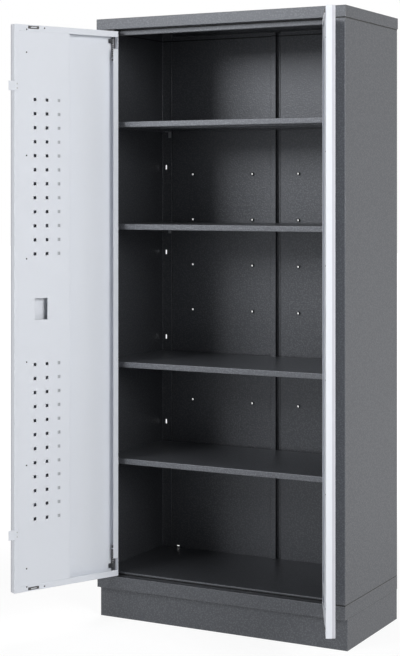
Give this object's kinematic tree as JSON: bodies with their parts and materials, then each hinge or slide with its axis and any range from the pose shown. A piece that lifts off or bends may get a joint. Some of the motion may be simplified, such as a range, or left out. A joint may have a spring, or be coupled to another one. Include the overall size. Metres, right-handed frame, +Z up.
{
  "type": "tool chest side locker",
  "caption": "Tall two-door steel tool locker with perforated inner door panels, lift-off shelves, lid tray and plinth, doors open.",
  "frame": {"origin": "on the floor, under the middle of the front channel of the plinth", "axes": "+Z up, doors on the -Y side, +X to the right seen from the front"},
  "size_m": [1.1226, 0.8238, 2],
  "materials": {
    "bush": "acetal",
    "carcass_coat": "dark grey hammertone powder coat",
    "cup": "moulded black",
    "door_coat": "light grey powder coat, fine texture",
    "lock": "polished",
    "magnet": "ferrite",
    "pin_steel": "dark zinc plated",
    "rivet": "plain",
    "shelf_coat": "dark grey hammertone powder coat",
    "zinc": "zinc plated"
  },
  "bodies": {
    "carcass": {"side_panel_left": "carcass_coat", "side_panel_right": "carcass_coat", "top_cap": "carcass_coat", "top_rail": "carcass_coat", "base_tray": "carcass_coat", "floor_panel": "carcass_coat", "back_panel_left": "carcass_coat", "back_panel_right": "carcass_coat", "back_upright": "carcass_coat", "back_rivets": "rivet", "plinth_front": "carcass_coat", "plinth_rear": "carcass_coat", "plinth_left": "carcass_coat", "plinth_right": "carcass_coat", "hinge_bushes": "bush", "shelf_clips_1": "zinc", "shelf_clips_2": "zinc", "shelf_clips_3": "zinc", "shelf_clips_4": "zinc"},
    "left_door": {"left_door_skin": "door_coat", "left_door_panel": "door_coat", "left_door_stiffener": "door_coat", "left_door_rivets": "rivet", "left_door_magnets": "magnet", "left_pin_brackets": "door_coat", "left_upper_spring": "zinc", "left_lower_spring": "zinc", "left_door_tabs": "door_coat", "tab_rivets": "rivet"},
    "right_door": {"right_door_skin": "door_coat", "right_door_panel": "door_coat", "right_door_stiffener": "door_coat", "right_door_rivets": "rivet", "right_door_magnets": "magnet", "right_pin_brackets": "door_coat", "right_upper_spring": "zinc", "right_lower_spring": "zinc", "handle_cup": "cup", "lock_barrel": "lock", "rod_guides": "zinc"},
    "lock": {"lock_cylinder": "lock", "lock_cam": "zinc"},
    "upper_rod": {"upper_lock_rod": "zinc"},
    "lower_rod": {"lower_lock_rod": "zinc"},
    "left_upper_hinge_pin": {"left_upper_pin": "pin_steel"},
    "left_lower_hinge_pin": {"left_lower_pin": "pin_steel"},
    "right_upper_hinge_pin": {"right_upper_pin": "pin_steel"},
    "right_lower_hinge_pin": {"right_lower_pin": "pin_steel"},
    "shelf_1": {"shelf_1": "shelf_coat", "shelf_stiffener_1": "shelf_coat"},
    "shelf_2": {"shelf_2": "shelf_coat", "shelf_stiffener_2": "shelf_coat"},
    "shelf_3": {"shelf_3": "shelf_coat", "shelf_stiffener_3": "shelf_coat"},
    "shelf_4": {"shelf_4": "shelf_coat", "shelf_stiffener_4": "shelf_coat"}
  },
  "joints": [
    {"name": "left_door_hinge", "type": "hinge", "parent": "carcass", "child": "left_door", "pos_m": [-0.3915, -0.0299, 1.051], "axis": [0, 0, 1], "range_deg": [0, 115]},
    {"name": "right_door_hinge", "type": "hinge", "parent": "carcass", "child": "right_door", "pos_m": [0.3915, -0.0299, 1.051], "axis": [0, 0, 1], "range_deg": [-115, 0]},
    {"name": "left_upper_pin_slide", "type": "slide", "parent": "left_door", "child": "left_upper_hinge_pin", "axis": [0, 0, -1], "range_m": [0, 0.015], "stiffness_N_per_m": 400, "springref_m": -0.012, "deforming": ["left_upper_spring"]},
    {"name": "left_lower_pin_slide", "type": "slide", "parent": "left_door", "child": "left_lower_hinge_pin", "axis": [0, 0, 1], "range_m": [0, 0.015], "stiffness_N_per_m": 400, "springref_m": -0.012, "deforming": ["left_lower_spring"]},
    {"name": "right_upper_pin_slide", "type": "slide", "parent": "right_door", "child": "right_upper_hinge_pin", "axis": [0, 0, -1], "range_m": [0, 0.015], "stiffness_N_per_m": 400, "springref_m": -0.012, "deforming": ["right_upper_spring"]},
    {"name": "right_lower_pin_slide", "type": "slide", "parent": "right_door", "child": "right_lower_hinge_pin", "axis": [0, 0, 1], "range_m": [0, 0.015], "stiffness_N_per_m": 400, "springref_m": -0.012, "deforming": ["right_lower_spring"]},
    {"name": "lock_turn", "type": "hinge", "parent": "right_door", "child": "lock", "pos_m": [0.52049, -0.28973, 0.978], "axis": [-0.9063, -0.4226, 0], "range_deg": [0, 90]},
    {"name": "upper_rod_slide", "type": "slide", "parent": "right_door", "child": "upper_rod", "axis": [0, 0, 1], "range_m": [0, 0.01273]},
    {"name": "lower_rod_slide", "type": "slide", "parent": "right_door", "child": "lower_rod", "axis": [0, 0, -1], "range_m": [0, 0.01273]},
    {"name": "shelf_1_lift", "type": "slide", "parent": "carcass", "child": "shelf_1", "axis": [0, 0, 1], "range_m": [0, 0.05]},
    {"name": "shelf_2_lift", "type": "slide", "parent": "carcass", "child": "shelf_2", "axis": [0, 0, 1], "range_m": [0, 0.05]},
    {"name": "shelf_3_lift", "type": "slide", "parent": "carcass", "child": "shelf_3", "axis": [0, 0, 1], "range_m": [0, 0.05]},
    {"name": "shelf_4_lift", "type": "slide", "parent": "carcass", "child": "shelf_4", "axis": [0, 0, 1], "range_m": [0, 0.05]}
  ],
  "couplings": [
    {"joint": "lower_rod_slide", "follows": "upper_rod_slide", "ratio": 1},
    {"joint": "lock_turn", "follows": "upper_rod_slide", "rad_per_m": 123.39}
  ]
}
